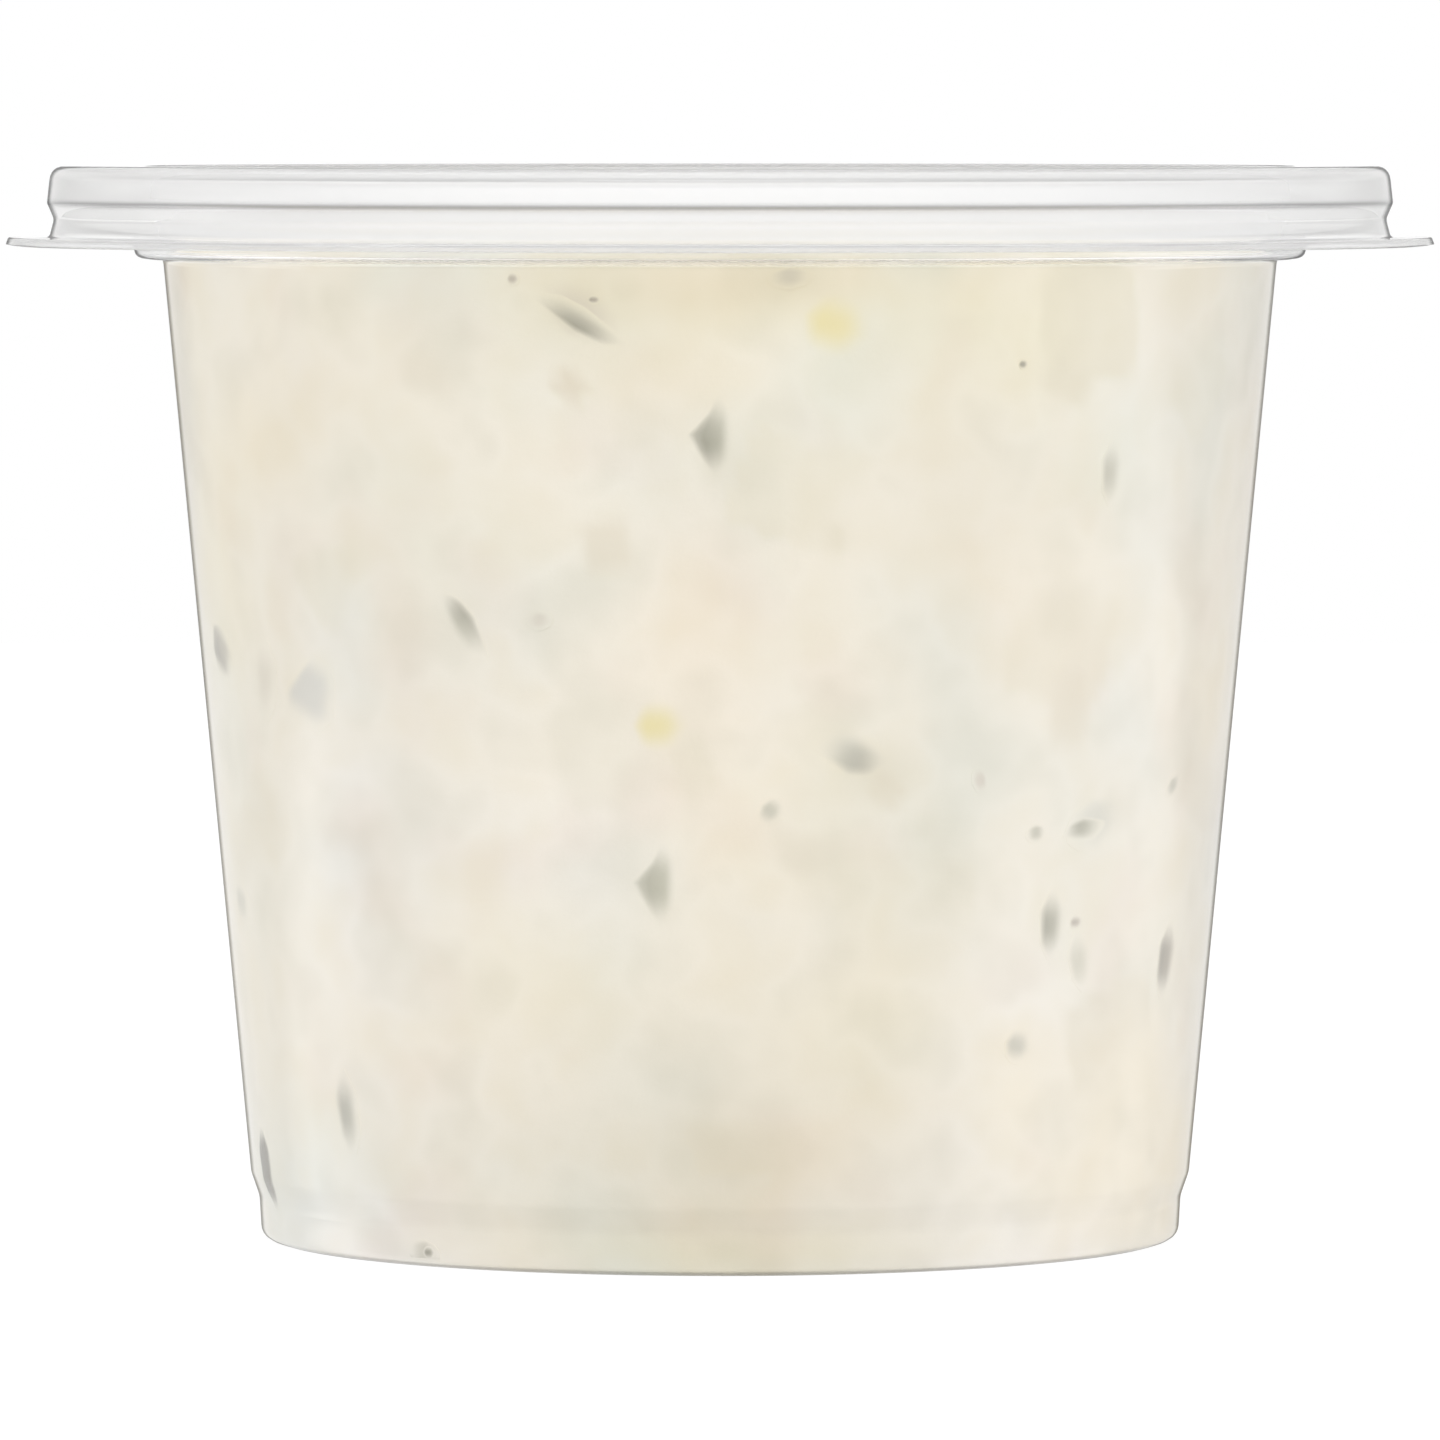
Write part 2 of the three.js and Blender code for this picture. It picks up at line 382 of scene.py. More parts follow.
def ramp(tree, factor, stops):
    """A colour ramp through [position, colour] stops."""
    node = put(tree, "ShaderNodeValToRGB", Fac=factor)
    band = node.color_ramp
    while len(band.elements) < len(stops):
        band.elements.new(0.5)
    for element, (position, colour) in zip(band.elements, stops):
        element.position = position
        element.color = colour
    return node.outputs["Color"]


def mixed(tree, factor, first, second, blend="MIX"):
    """Two colours mixed by a factor; a colour mix has them in its sockets 6 and 7."""
    node = put(tree, "ShaderNodeMix", {"data_type": "RGBA", "blend_type": blend},
               _0=factor, _6=first, _7=second)
    return node.outputs[2]


def grey(level):
    return (level, level, level, 1.0)


def risen(tree, value, low, high):
    """The same soft step as smooth_step, in nodes."""
    node = put(tree, "ShaderNodeMapRange", {"interpolation_type": "SMOOTHSTEP"}, Value=value,
               From_Min=low, From_Max=high)
    return node.outputs[0]


def dressing_tone_group():
    """The dressing's colour, times its tints with their painted highlights and shade, with the dice
    that show faintly under it, and its fine relief; shared by all that it coats."""
    group = bpy.data.node_groups.new("dressing_tone", "ShaderNodeTree")
    group.interface.new_socket("Color", in_out="OUTPUT", socket_type="NodeSocketColor")
    group.interface.new_socket("Height", in_out="OUTPUT", socket_type="NodeSocketFloat")
    place = put(group, "ShaderNodeTexCoord").outputs["Object"]
    tone = mixed(group, 1.0, dressing_blotches(group, place), attribute(group, "tint_and_painted_light"), "MULTIPLY")
    tone = veiled(group, tone, attribute(group, "under"), POTATO_TONES)
    height = noise(group, place, 1.6, 3.0, 0.6)
    out = group.nodes.new("NodeGroupOutput")
    group.links.new(tone, out.inputs["Color"])
    group.links.new(height, out.inputs["Height"])


def attribute(tree, name):
    """The colour that an attribute of the piece holds."""
    return put(tree, "ShaderNodeAttribute", {"attribute_name": name}).outputs["Color"]


def dressing_blotches(group, place):
    """The dressing's own cream, with broad, middling and faintly pink blotches."""
    broad = ramp(group, noise(group, place, 26, 1.5), [
        (0.30, srgb(235, 233, 221)),
        (0.44, srgb(241, 234, 218)),
        (0.56, srgb(243, 235, 218)),
        (0.70, srgb(243, 232, 208)),
    ])
    clots = ramp(group, noise(group, place, 8, 2.0), [
        (0.28, srgb(243, 243, 240)),
        (0.50, grey(1.0)),
        (0.72, srgb(250, 248, 242)),
    ])
    pink = ramp(group, noise(group, place, 11, 1.0), [(0.55, grey(1.0)), (0.75, srgb(252, 249, 248))])
    tone = mixed(group, 0.8, broad, clots, "MULTIPLY")
    return mixed(group, 1.0, tone, pink, "MULTIPLY")


def dressing_nodes(tree):
    """The shared group placed in a material: its colour and its relief."""
    node = tree.nodes.new("ShaderNodeGroup")
    node.node_tree = bpy.data.node_groups["dressing_tone"]
    return node.outputs["Color"], node.outputs["Height"]


def moist_surface(tree, colour, height):
    """The salad's own surface: soft, with a fine uneven sheen."""
    bump = put(tree, "ShaderNodeBump", Height=height, Strength=0.25, Distance=0.15 * MM)
    skin = put(tree, "ShaderNodeBsdfPrincipled", Base_Color=colour, Roughness=0.42,
               Normal=bump.outputs[0])
    skin.inputs["Specular IOR Level"].default_value = 0.35
    put(tree, "ShaderNodeOutputMaterial", Surface=skin.outputs[0])


def veiled(tree, dressing, look, tones):
    """A colour under a veil of dressing: the look says how far it shows, darkens and how warm
    it is, and the tones are its cool, own, warm and dark ones."""
    shown, darker, warmth = put(tree, "ShaderNodeSeparateColor", Color=look).outputs
    cool, own, warm, dark = tones
    colour = ramp(tree, warmth, [(0.0, cool), (0.35, own), (1.0, warm)])
    colour = mixed(tree, darker, colour, dark)
    return mixed(tree, shown, dressing, colour)


def veiled_material(name, tones):
    """A material of its own tones that shows through the dressing as far as its look says."""
    material, tree = tree_of(name)
    dressing, height = dressing_nodes(tree)
    moist_surface(tree, veiled(tree, dressing, attribute(tree, "look"), tones), height)
    return material


POTATO_TONES = (srgb(220, 218, 200), srgb(226, 219, 190), srgb(226, 210, 190), srgb(206, 194, 174))
HERB_TONES = (srgb(198, 198, 194), srgb(189, 188, 167), srgb(196, 176, 162), srgb(112, 106, 90))
YOLK_TONES = (srgb(236, 226, 178), srgb(235, 223, 170), srgb(236, 218, 168), srgb(224, 210, 150))


def clear_plastic(name, roughness, streak_mm, strength, clearness, edge_shade_grey):
    """Thin clear formed plastic, faintly uneven, with painted shade: pale grey painted in its creases
    and a greyer colour painted where it is seen edge on; light for what is inside passes straight in."""
    material, tree = tree_of(name)
    place = put(tree, "ShaderNodeTexCoord").outputs["Object"]
    crease_shade = put(tree, "ShaderNodeAttribute", {"attribute_name": "crease_shade"}).outputs["Fac"]
    edge_on = put(tree, "ShaderNodeLayerWeight", Blend=0.5).outputs["Facing"]
    face_on = 0.99
    # Painted shade: the sheet's colour turns greyer the more it is seen edge on
    sheet = ramp(tree, edge_on, [
        (0.05, grey(face_on)),
        (0.25, grey(0.4 * face_on + 0.6 * edge_shade_grey)),
        (0.70, grey(edge_shade_grey)),
    ])
    # Painted shade: grey lines in the creases
    tint_and_painted_light = mixed(tree, crease_shade, sheet, srgb(140, 140, 140))
    drawn = put(tree, "ShaderNodeMapping", Vector=place, Scale=(1.0, 1.0, 0.35)).outputs[0]
    height = noise(tree, drawn, streak_mm, 1.0)
    bump = put(tree, "ShaderNodeBump", Height=height, Strength=strength, Distance=0.4 * MM)
    plastic = put(tree, "ShaderNodeBsdfPrincipled", Base_Color=tint_and_painted_light,
                  Roughness=roughness, IOR=1.5, Transmission_Weight=clearness, Normal=bump.outputs[0])
    path = put(tree, "ShaderNodeLightPath").outputs
    clear = put(tree, "ShaderNodeBsdfTransparent").outputs[0]
    lamp_lit = put(tree, "ShaderNodeMixShader", _0=path["Is Shadow Ray"],
                   _1=plastic.outputs[0], _2=clear)
    soft_lit = put(tree, "ShaderNodeMixShader", _0=path["Is Diffuse Ray"],
                   _1=lamp_lit.outputs[0], _2=clear)
    put(tree, "ShaderNodeOutputMaterial", Surface=soft_lit.outputs[0])
    return material


def dress(piece, material):
    """Gives a piece its material and its body."""
    piece.data.materials.clear()
    piece.data.materials.append(material)
    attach(piece, "root")


# Salad

def seeded_draw(seed):
    """Numbers from 0 to 1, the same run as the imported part's own pieces are laid by."""
    state = seed
    while True:
        state = (state * 1664525 + 1013904223) % 2 ** 32
        yield state / 2 ** 32


def between(low, high, draw):
    """The next draw, between two values."""
    return low + (high - low) * next(draw)


def wall_line():
    """The heights and radii of the tub's inner face, from the foot up to the ledge."""
    inside = line_beside(rounded_line(TUB_CORNERS), TUB_SHEET)
    rising = [p for p in inside if p.x > 30.0 and p.y < WALL_TOP[1]]
    rising.append(Vector((WALL_TOP[0] - TUB_SHEET, WALL_TOP[1])))
    return np.array([p.y for p in rising]), np.array([p.x for p in rising])


WALL_HEIGHTS, WALL_RADII = wall_line()


def wall_radius(height):
    """The radius of the tub's inner face at a height."""
    return np.interp(height, WALL_HEIGHTS, WALL_RADII)


def template(make, shape):
    """The vertices and faces of a small form, shaped once to be repeated."""
    bpy.ops.object.select_all(action="DESELECT")
    make()
    form = bpy.context.object
    bpy.ops.object.mode_set(mode="EDIT")
    bpy.ops.mesh.select_all(action="SELECT")
    shape()
    bpy.ops.mesh.select_all(action="SELECT")
    bpy.ops.mesh.normals_make_consistent(inside=False)
    bpy.ops.object.mode_set(mode="OBJECT")
    places = np.array([tuple(vertex.co) for vertex in form.data.vertices])
    faces = [tuple(face.vertices) for face in form.data.polygons]
    bpy.data.objects.remove(form)
    return places, faces


def joined(name, faces, placed, looks, material, under=None, tint_and_painted_light=None):
    """One piece out of many placed copies of a form, with each point's look, what shows under the
    dressing there, and the dressing's tint with its painted highlights and shade."""
    count = len(placed[0])
    places = np.concatenate(placed)
    all_faces = [tuple(v + i * count for v in face) for i in range(len(placed)) for face in faces]
    mesh = bpy.data.meshes.new(name)
    mesh.from_pydata((places * MM).tolist(), [], all_faces)
    set_colour(mesh, "look", np.concatenate(looks))
    set_colour(mesh, "under", np.zeros_like(places) if under is None else under)
    set_colour(mesh, "tint_and_painted_light", np.ones_like(places) if tint_and_painted_light is None else tint_and_painted_light)
    piece = bpy.data.objects.new(name, mesh)
    bpy.context.collection.objects.link(piece)
    bpy.ops.object.select_all(action="DESELECT")
    piece.select_set(True)
    bpy.context.view_layer.objects.active = piece
    bpy.ops.object.shade_smooth_by_angle(angle=math.radians(45))
    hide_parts("potato_salad")
    dress(piece, material)


def round_the_axis(places, degrees):
    """Places turned round the tub's upright axis."""
    turn = math.radians(degrees)
    x = places[:, 0] * math.cos(turn) - places[:, 1] * math.sin(turn)
    y = places[:, 0] * math.sin(turn) + places[:, 1] * math.cos(turn)
    return np.column_stack([x, y, places[:, 2]])


# Potato dice

def rounded_die(places, softness):
    """A cube's points with its edges and corners rounded."""
    inner = np.clip(places, softness - 0.5, 0.5 - softness)
    out = places - inner
    return inner + out / np.linalg.norm(out, axis=1, keepdims=True) * softness


def potato_die(form, draw, tweak):
    """A boiled die: soft-edged, a little skewed and uneven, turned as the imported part's."""
    size = between(*DICE_SIZE, draw)
    deep = size * between(0.8, 1.1, draw)
    tall = size * between(0.75, 1.05, draw)
    tilt = Euler([between(-0.45, 0.45, draw), between(-0.8, 0.8, draw), between(-0.45, 0.45, draw)])
    places = rounded_die(form, tweak.uniform(0.14, 0.22))
    skew = np.eye(3) + tweak.uniform(-0.12, 0.12, (3, 3))
    places = places @ skew.T * (size, deep, tall)
    for axis in range(3):
        waves = tweak.uniform(0.35, 0.7, 3)
        places[:, axis] += 0.16 * np.sin(places @ waves + tweak.uniform(0, TURN))
    return places @ np.array(tilt.to_matrix()).T, size


def pressed_in(places):
    """Points kept just under the dressing at the wall, and well under the lid."""
    radius = np.linalg.norm(places[:, :2], axis=1)
    limit = wall_radius(places[:, 2]) - UNDER_SKIN
    squeeze = np.minimum(limit / np.maximum(radius, 1.0), 1.0)
    height = places[:, 2]
    room = SALAD_PEAK - PRESS_FROM
    pressed = PRESS_FROM + room * np.tanh((height - PRESS_FROM) / room / PRESS_EASE)
    height = np.where(height > PRESS_FROM, pressed, height)
    return np.column_stack([places[:, 0] * squeeze, places[:, 1] * squeeze, height])


def placed_dice(draw):
    """All dice, each with its place and its look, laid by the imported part's own draws."""
    form, faces = template(
        lambda: bpy.ops.mesh.primitive_cube_add(size=1),
        lambda: bpy.ops.mesh.subdivide(number_cuts=9),
    )
    tweak = np.random.default_rng(SEED)
    placed = []
    looks = []
    for i in range(SIDE_DICE + TOP_DICE):
        places, size = potato_die(form, draw, tweak)
        if i < SIDE_DICE:
            height = LOWEST_DIE + DICE_SPAN * (i + next(draw)) / SIDE_DICE
            radius = wall_radius(height) - DICE_GAP - DICE_SINK * size
            turn = SPREAD_TURN * i
        else:
            height = SALAD_LEVEL - DICE_SINK * size
            radius = DICE_CIRCLE * math.sqrt((i - SIDE_DICE + 0.5) / TOP_DICE)
            turn = SPREAD_TURN * (i - SIDE_DICE)
        places = pressed_in(round_the_axis(places + (0, -radius, height), turn))
        placed.append(places)
        nearer = 0.0 if i < SIDE_DICE else 0.3
        look = [tweak.uniform(0.12, 0.4) + nearer, tweak.uniform(0, 0.4), tweak.uniform(0, 0.7)]
        looks.append(np.tile(look, (len(places), 1)))
    return placed, looks, faces


# Dressing

def inner_line(beyond):
    """The tub's inner face up to the mouth, moved out by a distance, as an even line."""
    foot = (*TUB_CORNERS[1][:2], FILL_FOOT)
    corners = [TUB_CORNERS[0], foot] + TUB_CORNERS[2:]
    inside = line_beside(rounded_line(corners), TUB_SHEET - beyond)
    inside = [point for point in inside if point.y < BRIM_LEVEL and point.x < MOUTH_RADIUS]
    line = inside[:1]
    for before, after in zip(inside, inside[1:]):
        parts = max(1, round((after - before).length / LINE_SPACING))
        if after.x <= UNDERSIDE_RADIUS:
            parts = 1
        line += [before.lerp(after, (i + 1) / parts) for i in range(parts)]
    return line


def top_wave(x, y):
    """The low, broad waves of the salad's top."""
    broad = 0.35 * np.sin(0.21 * x + 1.3) * np.cos(0.17 * y - 0.6)
    return broad + 0.25 * np.sin(0.31 * (x + y) + 0.9)


def lumps(places, size):
    """Soft lumps about the given size across, from -1 to 1."""
    return np.array([bl_noise.noise(Vector(place)) for place in places / size])


def move_points(piece, places):
    """Puts a piece's points at new places, in millimetres."""
    piece.data.vertices.foreach_set("co", (places * MM).ravel())
    piece.data.update()


def smooth_points(piece, chosen, repeat):
    """Evens out the heights of the chosen points."""
    bpy.ops.object.mode_set(mode="EDIT")
    bpy.ops.mesh.select_mode(type="VERT")
    bpy.ops.mesh.select_all(action="DESELECT")
    bpy.ops.object.mode_set(mode="OBJECT")
    piece.data.vertices.foreach_set("select", chosen)
    bpy.ops.object.mode_set(mode="EDIT")
    bpy.ops.mesh.vertices_smooth(factor=0.5, repeat=repeat, xaxis=False, yaxis=False)
    bpy.ops.object.mode_set(mode="OBJECT")


def set_colour(mesh, name, values):
    """Keeps three values for each point as a colour attribute."""
    colour = mesh.attributes.new(name, "FLOAT_COLOR", "POINT")
    colour.data.foreach_set("color", np.column_stack([values, np.ones(len(values))]).ravel())


def dropped(tree, x, y):
    """Where a ray dropped from above the lid meets a tree's faces first."""
    return tree.ray_cast(Vector((x, y, ABOVE)), DOWN)[0]


class Dice:
    """The laid dice, for rays to find how they show through the dressing over them. A ray
    starts outside the dressing, ends where nothing could show, and skips the foot."""

    RAY_START = 2.0
    RAY_REACH = 6.0
    FOOT = 2.0

    def __init__(self, placed, looks, faces):
        count = len(placed[0])
        self.looks = [look[0] for look in looks]
        self.faces = len(faces)
        self.tree = BVHTree.FromPolygons(
            [Vector(place) for block in placed for place in block],
            [tuple(v + i * count for v in face) for i in range(len(placed)) for face in faces],
        )

    def height_under(self, x, y):
        """The height of the uppermost die at a place, or 0 where there is none."""
        hit = dropped(self.tree, x, y)
        return hit.z if hit else 0.0

    def under(self, places, on_top):
        """How the dice show at each place: how far, how dark and how warm."""
        looks = np.zeros((len(places), 3))
        for i, place in enumerate(places):
            if place[2] < self.FOOT:
                continue
            way = DOWN if on_top[i] else Vector((-place[0], -place[1], 0)).normalized()
            start = Vector(place) - way * self.RAY_START
            number, distance = self.tree.ray_cast(start, way, self.RAY_REACH)[2:]
            if distance is not None:
                depth = max(distance - self.RAY_START - UNDER_SKIN, 0)
                show, dark, warm = self.looks[number // self.faces]
                looks[i] = (show * math.exp(-(depth / VEIL) ** 1.5), dark, warm)
        return looks


def wall_offsets(places, degrees, height, lean=0.0):
    """How far places lie across and along from a spot on the wall."""
    turned_by = np.degrees(np.arctan2(places[:, 0], -places[:, 1])) - degrees
    right = np.radians(turned_by) * wall_radius(height)
    up = places[:, 2] - height
    lean = math.radians(lean)
    return right * math.cos(lean) - up * math.sin(lean), right * math.sin(lean) + up * math.cos(lean)


def shown_faces(places, under):
    """Adds the soft, evenly dark faces of dice that the photo shows just under the dressing."""
    for degrees, height, length, width, lean, show, warm in SHOWN_FACES:
        across, along = wall_offsets(places, degrees, height, lean)
        block = smooth_step(0.0, 0.6, 1 - np.abs(across) * 2 / width)
        block = show * block * smooth_step(0.0, 0.6, 1 - np.abs(along) * 2 / length)
        face = np.column_stack([block, np.full(len(block), FACE_DARK), np.full(len(block), warm)])
        nearer = block > under[:, 0]
        under[nearer] = face[nearer]
    return under


def fleck_halos():
    """A faint green spot round each larger fleck of the shown side, as rows of soft spots."""
    halos = []
    for row in SHOWN_FLECKS:
        degrees, height, length = row[:3]
        if length > HALO_FROM:
            halos.append((degrees, height, 0.75 * length, 0.75 * length, GREEN, 0.5 * row[6]))
    return halos


def spot_tints_and_painted_light(places):
    """The tint that the soft spots give the dressing at each place, its own tone with painted
    highlights and shade, and painted light that makes it paler at brim and foot.
    """
    tint_and_painted_light = np.ones((len(places), 3))
    wavy = 1 + 0.5 * lumps(places, 5.0)
    for degrees, height, wide, tall, share, strength in TONE_AND_LIGHT_SPOTS + fleck_halos():
        across, along = wall_offsets(places, degrees, height)
        spot = strength * np.exp(-((across / wide) ** 2 + (along / tall) ** 2) * wavy)
        tint_and_painted_light *= 1 + spot[:, None] * (np.array(share) - 1)
    # Painted light: paler on the top at the brim, where the lid shades it, and along the foot, where
    # the fillet faces down and catches a highlight
    painted_light_at_ends = smooth_step(WALL_TOP[1] - 0.1, WALL_TOP[1] + 0.1, places[:, 2])
    painted_light_at_ends += 0.7 * (1 - smooth_step(0.6, 2.4, places[:, 2]))
    return tint_and_painted_light * (1 + painted_light_at_ends[:, None] * (np.array(PALE_TONE_AND_HIGHLIGHT) - 1))


def draped_heights(x, y, inside, dice):
    """The heights of the salad's top by place and distance inside the brim: low waves and
    lumps, a climb to the wall, and a drape over the uppermost dice."""
    under = np.array([dice.height_under(a, b) for a, b in zip(x, y)])
    flat = np.column_stack([x, y, np.zeros(len(x))])
    base = TOP_MIDDLE + top_wave(x, y) + 0.55 * lumps(flat, 5.0) + 0.25 * lumps(flat + 7, 2.4)
    base += (TOP_CLIMB - base) * CLIMB_SHARE * (1 - smooth_step(*CLIMB_ZONE, inside))
    over = np.clip((under + DRAPE_OVER - base) / DRAPE_EASE, -30, 30)
    draped = np.minimum(base + DRAPE_EASE * np.logaddexp(0.0, over), SALAD_PEAK - 0.05)
    return BRIM_LEVEL + (draped - BRIM_LEVEL) * smooth_step(*BRIM_ZONE, inside)


def dressing_piece(dice):
    """The dressing that fills the tub. It wets the wall all over, its top is draped over the
    uppermost dice, and the dice show faintly where they lie close under it."""
    side = inner_line(INTO_WALL)
    brim = side[-1].x + 0.01
    top = [Vector((brim * (TOP_RINGS - i) / TOP_RINGS, BRIM_LEVEL)) for i in range(TOP_RINGS + 1)]
    piece = turned("creamy_dressing", side + top, DRESSING_STEPS)
    places = points_of(piece)
    radius = np.linalg.norm(places[:, :2], axis=1)
    upper = (places[:, 2] > BRIM_LEVEL - 0.005) & (radius < brim - 0.3)
    places[upper, 2] = draped_heights(places[upper, 0], places[upper, 1], brim - radius[upper], dice)
    move_points(piece, places)
    smooth_points(piece, upper, 2)
    places = points_of(piece)
    set_colour(piece.data, "look", np.zeros_like(places))
    set_colour(piece.data, "under", shown_faces(places, dice.under(places, upper)))
    set_colour(piece.data, "tint_and_painted_light", spot_tints_and_painted_light(places))
    bpy.ops.object.shade_smooth()
    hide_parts("potato_salad")
    dress(piece, veiled_material("creamy_dressing", POTATO_TONES))
    return piece


# Leaf flecks and yolk, thin pieces pressed into the dressing

def patch_form():
    """A thin slab of small faces, from -1 to 1 both ways, that patches are shaped from."""
    return template(
        lambda: bpy.ops.mesh.primitive_grid_add(x_subdivisions=8, y_subdivisions=12, size=2),
        lambda: bpy.ops.mesh.extrude_region_move(TRANSFORM_OT_translate={"value": (0, 0, -1)}),
    )


def shaped_patch(form, outline, length, width):
    """Places across and along for a form whose halves follow an outline of three lines:
    how far along each pair of half widths is."""
    stations, left, right = np.array(outline).T
    along = form[:, 1]
    dark_half = np.interp(along, stations, left)
    pale_half = np.interp(along, stations, right)
    half = np.where(form[:, 0] < 0, dark_half, pale_half)
    return form[:, 0] * half * width / 2, along * length / 2


def wall_places(across, along, form, degrees, height, lean, lift):
    """A patch laid on the wall, its outer face a hair outside the dressing."""
    turn = math.radians(lean)
    right = across * math.cos(turn) + along * math.sin(turn)
    up = along * math.cos(turn) - across * math.sin(turn)
    heights = height + up
    depth = np.where(form[:, 2] > -0.5, INTO_WALL + 0.02 + lift, -0.3)
    radius = wall_radius(heights) + depth
    angle = math.radians(degrees) + right / wall_radius(height)
    return np.column_stack([radius * np.sin(angle), -radius * np.cos(angle), heights])


def top_places(across, along, form, x, y, lean, tree):
    """A patch laid on the dressing's top."""
    turn = math.radians(lean)
    east = x + across * math.cos(turn) + along * math.sin(turn)
    north = y + along * math.cos(turn) - across * math.sin(turn)
    edge = 1 - np.maximum(np.abs(form[:, 0]), np.abs(form[:, 1]))
    rise = np.where(form[:, 2] > -0.5, 0.02 + 0.12 * smooth_step(0.0, 0.9, edge), -0.4)
    under = [dropped(tree, a, b).z for a, b in zip(east, north)]
    return np.column_stack([east, north, np.array(under) + rise])


def patch_look(form, show, dark, softness, fade, tail, warm):
    """How far each point shows through the dressing, how dark and how warm it is: crisp on its
    dark side, fading across to the pale side and along to its tail."""
    across, along = form[:, 0], form[:, 1]
    side = smooth_step(0.0, np.where(across < 0, 0.45 * softness, softness), 1 - np.abs(across))
    end = smooth_step(0.0, softness, 1 - np.abs(along))
    faded = (1 - fade * smooth_step(-0.5, 1.0, across)) * (1 - tail * smooth_step(-0.7, 1.0, along))
    shown = show * side * end * faded
    darker = dark * (1 - (0.25 + fade) * smooth_step(-0.95, 0.6, across))
    darker *= 1 - tail * smooth_step(-0.8, 0.6, along)
    return np.column_stack([shown, darker, np.full(len(form), warm)])


# Outlines of patches: how far along, half width on the dark side, half width on the pale side
KITE = [(-1, 0.05, 0.1), (-0.6, 0.5, 0.42), (0.0, 1.0, 0.46), (0.55, 0.34, 0.42), (1, 0.08, 0.12)]
SLIVER = [(-1, 0.1, 0.1), (-0.6, 0.75, 0.5), (0, 0.85, 0.9), (0.5, 0.5, 0.9), (1, 0.1, 0.3)]
BLADE = [(-1, 0.15, 0.3), (-0.5, 0.8, 0.9), (0.4, 1.0, 1.0), (1, 0.25, 0.2)]
LEAF = [(-1, 0.9, 0.5), (-0.4, 1.0, 0.95), (0.4, 0.55, 0.8), (1, 0.2, 0.55)]
OVAL = [(-1, 0.25, 0.25), (-0.7, 0.72, 0.72), (0, 1.0, 1.0), (0.7, 0.72, 0.72), (1, 0.25, 0.25)]
OUTLINES = [KITE, SLIVER, BLADE, LEAF, OVAL]

